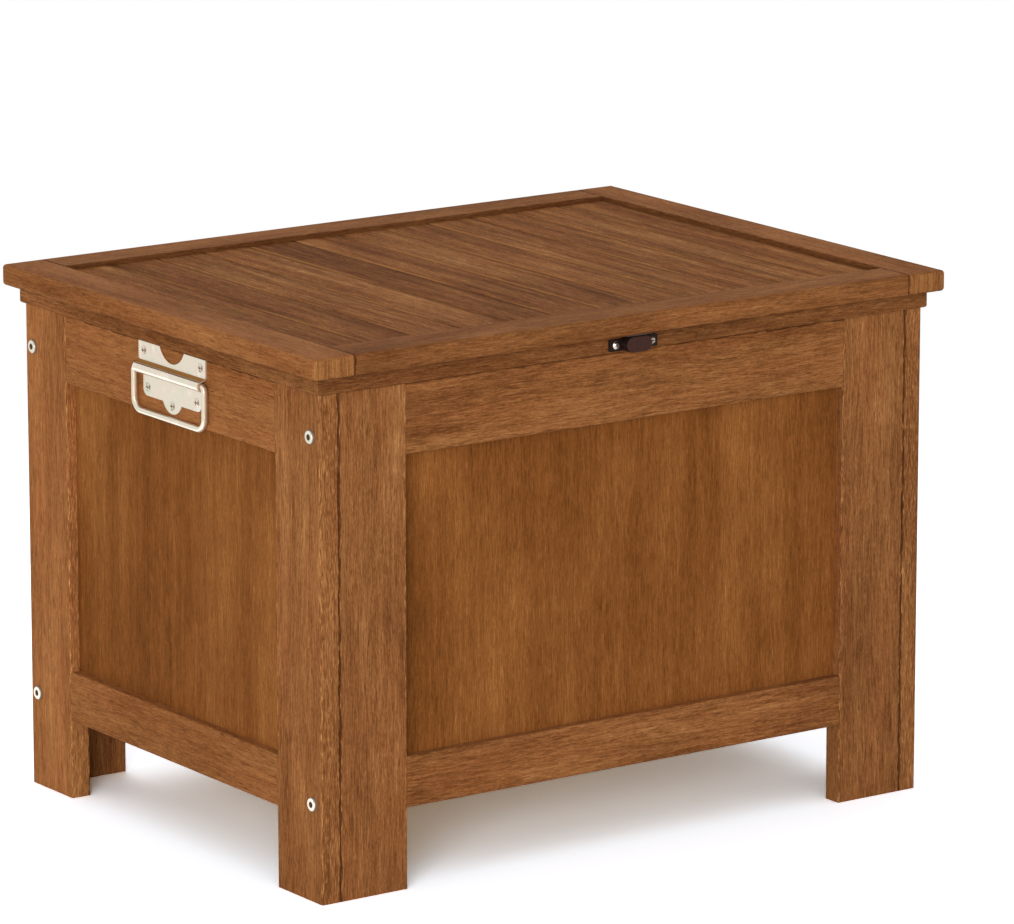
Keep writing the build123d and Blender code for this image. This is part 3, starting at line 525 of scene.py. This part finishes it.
# The poles and strike plate get a dark steel colour as painted shade, as they sit under the lid's front
# edge.
finish, tree, spot, _ = new_finish("catch_steel")
plated(tree, spot, [(0.3, srgb(62, 56, 52)), (0.7, srgb(84, 78, 72))])
dress("catch_poles", finish)
dress("strike_plate", finish)

NICKEL_TONES = [(0.25, srgb(196, 188, 172)), (0.5, srgb(222, 214, 198)), (0.75, srgb(236, 231, 220))]
catch_screw_recess = 0.00108
recess_floor = -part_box("catch_screws")[0][Y] - catch_screw_recess
cross_head_screws("nickel_catch_screws", "catch_screws", Y, recess_floor, NICKEL_TONES)

# The hinges. Two plated steel butt hinges turn on their pins: the long leaves are screwed to the
# back of the rim and the short ones up into the lid.
finish, tree, spot, _ = new_finish("nickel_hinges")
plated(tree, spot, NICKEL_TONES)
for node in ("hinge_cabinet_leaves", "hinge_lid_leaves", "hinge_pins"):
    dress(node, finish)
hinge_screw_recess = 0.0003
recess_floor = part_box("hinge_screws")[1][Y] - hinge_screw_recess
cross_head_screws("nickel_hinge_screws", "hinge_screws", Y, recess_floor, NICKEL_TONES)

# The lid's frame. Two full-length rails run front to back and show their end grain at the front,
# and two shorter rails are tenoned between them. Each rail has its shade, figure and joint lines,
# and painted shade lines along the lid's bottom edge and the inner faces of the right and back rails.
lid_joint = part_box("lid_left_rail")[1][X]
# A painted shadow line along the lid's bottom edge, and painted shade on the inner faces of the right and
# back rails.
lid_edge_shade = (Z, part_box("lid_front_rail")[0][Z], 0.5)
lid_ends = [(X, lid_joint, 0.7), (X, -lid_joint, 0.7)]
lid_rails = {"left": (1.06, 0.75, [lid_edge_shade]),
             "right": (1.02, 0.85, [lid_edge_shade, (X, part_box("lid_right_rail")[0][X], 0.5)]),
             "front": (0.86, 0.85, [lid_edge_shade] + lid_ends),
             "back": (0.95, 0.85, [lid_edge_shade, (Y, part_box("lid_back_rail")[0][Y], 0.5)] + lid_ends)}
for seed, (side, (shade, figure, joints)) in enumerate(lid_rails.items(), 300):
    oil_board(f"lid_{side}_rail", f"oiled_lid_{side}", seed, shade, joints, figure=figure)

# The lid's slats. Twelve boards run from front to back, tongued into the rails, each cut from
# another board and so a little lighter or darker than its neighbours, over a plywood panel.
slat_count = 12
slat_shade = 0.86
slat_pore_dark = 0.35
slat_pitch = -2 * lid_joint / slat_count
finish, tree, spot, normal = new_finish("oiled_slats")
along = maths(tree, "DIVIDE", minus(tree, split_up(tree, spot)[X], lid_joint), slat_pitch)
slat = maths(tree, "FLOOR", along)
slat = maths(tree, "MINIMUM", larger(tree, slat, 0.0), slat_count - 1.0)
chance = add(tree, "ShaderNodeTexWhiteNoise", {"W": slat}, noise_dimensions="1D")
apart = (5.0, 5.0, 5.0)
elsewhere = add(tree, "ShaderNodeVectorMath", {0: chance.outputs["Color"], 1: apart, 2: spot},
                operation="MULTIPLY_ADD")
place = cut_from_log(tree, elsewhere.outputs[0], 400)
tone = figured(tree, place, Y, TIMBER_FIGURE, 1.1)
streaks = fibres(tree, place, Y, width=0.009, length=0.30, rough=0.6)
for swing, weight in ((streaks, 0.7), (chance.outputs["Value"], 0.16)):
    tone = plus(tree, tone, times(tree, minus(tree, swing, 0.5), weight))
colour = warmed(tree, place, Y, ramp(tree, tone, OILED_TONES))
pores = open_pores(tree, place, Y, width=0.0010, length=0.013)
colour = mixed(tree, times(tree, pores, slat_pore_dark), colour, PORE)
facing = split_up(tree, normal)
# Painted light on the slats' chamfers: in patches the slopes facing left get a painted golden highlight,
# and the slopes facing right and a strip along each slat's right edge get painted shade.
highlight_patches = between(tree, fibres(tree, place, Y, width=0.030, length=0.16), 0.36, 0.62)
left_slope = times(tree, between(tree, facing[X], -0.15, -0.45), highlight_patches)
right_slope = between(tree, facing[X], 0.15, 0.45)
to_right_edge = times(tree, minus(tree, plus(tree, slat, 1.0), along), slat_pitch)
slat_edge_shade = times(tree, between(tree, to_right_edge, 0.0060, 0.0020), 0.45)
slat_edge_shade = larger(tree, slat_edge_shade, times(tree, right_slope, 0.85))
colour = mixed(tree, slat_edge_shade, colour, JOINT_AND_SHADE)
colour = mixed(tree, times(tree, left_slope, 0.60), colour, srgb(196, 136, 80))
colour = mixed(tree, 1.0, colour, (slat_shade, slat_shade, slat_shade, 1.0), "MULTIPLY")
height = minus(tree, tone, pores)
finish_output(tree, colour, roughness=0.66, height=height, depth=0.00018, Specular_IOR_Level=0.01)
dress("lid_slats", finish)

face_with_plywood("lid_panel", "lid_plywood", 401, VENEER_TONES)

# The underside of the lid. The tray hangs in the mouth of the tub and is held by six screws, and
# a rubber ring round it lies on the rebate of the rim.
dress("lid_tray", tub_finish)
dress("lid_seal", rubber_finish)
finish, tree, spot, normal = new_finish("zinc_lid_screws")
# The walls of the cross recesses are painted with recess shade.
recess = between(tree, size_of(tree, split_up(tree, normal)[Z]), 0.45, 0.20)
plated(tree, spot, NICKEL_TONES, times(tree, recess, 0.9))
dress("lid_screws", finish)

# The studio. The chest stands on a plain white floor that fades into the white round it. A low
# broad lamp before the near corner lights both sides, and a large one above it lights the lid.
WHITE = (1, 1, 1, 1)
BOUNCED_PAINT = (0.80, 0.80, 0.80, 1.0)
SEEN_PAINT = (2.03, 2.15, 2.30, 1.0)
floor_size = 60.0
fade_from, fade_to = 0.75, 1.7


def seen_directly(tree):
    """Is 1 for the camera's rays and their reflections, and 0 for the light that a thing casts."""
    rays = add(tree, "ShaderNodeLightPath", {}).outputs
    straight = larger(tree, rays["Is Camera Ray"], rays["Is Glossy Ray"])
    return larger(tree, straight, rays["Is Transmission Ray"])


bpy.ops.object.select_all(action="DESELECT")
bpy.ops.mesh.primitive_plane_add(size=floor_size, location=(0, 0, 0))
floor = bpy.context.object
floor.name = "studio_floor"
finish, tree, spot, _ = new_finish("studio_floor")
from_middle = add(tree, "ShaderNodeVectorMath", {0: spot}, operation="LENGTH").outputs["Value"]
looked_at = seen_directly(tree)
faded = times(tree, between(tree, from_middle, fade_from, fade_to), looked_at)
paint = mixed(tree, looked_at, BOUNCED_PAINT, SEEN_PAINT)
matt = add(tree, "ShaderNodeBsdfDiffuse", {"Color": paint})
glow = add(tree, "ShaderNodeEmission", {"Color": WHITE, "Strength": 1.0})
both = add(tree, "ShaderNodeMixShader", {0: faded, 1: matt.outputs[0], 2: glow.outputs[0]})
add(tree, "ShaderNodeOutputMaterial", {"Surface": both.outputs[0]})
floor.data.materials.append(finish)

sky_level = 0.40
world = bpy.data.worlds.new("studio")
bpy.context.scene.world = world
world.use_nodes = True
tree = world.node_tree
tree.nodes.clear()
strength = plus(tree, times(tree, seen_directly(tree), 1.0 - sky_level), sky_level)
sky = add(tree, "ShaderNodeBackground", {"Color": WHITE, "Strength": strength})
add(tree, "ShaderNodeOutputWorld", {"Surface": sky.outputs[0]})

chest_middle = Vector((0, 0, 0.2))


def soft_lamp(name, azimuth, elevation, away, size, level):
    """A round lamp that lights a surface facing it to a level, where 1 shows a colour as it is."""
    turn, rise = math.radians(azimuth), math.radians(elevation)
    toward = Vector((math.sin(turn) * math.cos(rise), -math.cos(turn) * math.cos(rise), math.sin(rise)))
    bpy.ops.object.light_add(type="AREA", location=chest_middle + away * toward)
    lamp = bpy.context.object
    lamp.name = name
    lamp.data.shape = "DISK"
    lamp.data.size = size
    lamp.data.energy = level * (math.pi * away) ** 2
    lamp.rotation_euler = (-toward).to_track_quat("-Z", "Y").to_euler()


soft_lamp("low_lamp", azimuth=-44, elevation=9, away=6.0, size=3.0, level=0.62)
soft_lamp("high_lamp", azimuth=-36, elevation=50, away=6.0, size=5.0, level=0.13)
soft_lamp("back_lamp", azimuth=160, elevation=42, away=6.0, size=4.0, level=0.28)

# The camera. It stands 5.3 m away to the left of the front, a little above the lid, with a long
# lens. Its yaw and pitch are in radians, and it is set aside and raised to frame the chest.
sensor_width = 36.0
frame_width = 1014
focal_pixels = 6558.0
yaw = 0.61185
pitch = 0.22574
distance = 5.3256
aside = 0.02775
raised = 0.06931
ahead = Vector((math.sin(yaw) * math.cos(pitch), math.cos(yaw) * math.cos(pitch), -math.sin(pitch)))
rightward = Vector((math.cos(yaw), -math.sin(yaw), 0))
upward = rightward.cross(ahead)
bpy.ops.object.camera_add(location=chest_middle - distance * ahead + aside * rightward + raised * upward)
camera = bpy.context.object
camera.rotation_euler = Matrix((rightward, upward, -ahead)).transposed().to_euler()
camera.data.sensor_width = sensor_width
camera.data.sensor_fit = "HORIZONTAL"
camera.data.lens = focal_pixels / frame_width * sensor_width
camera.data.clip_end = 200
bpy.context.scene.camera = camera
bpy.context.scene.view_settings.view_transform = "Standard"

bpy.context.view_layer.update()
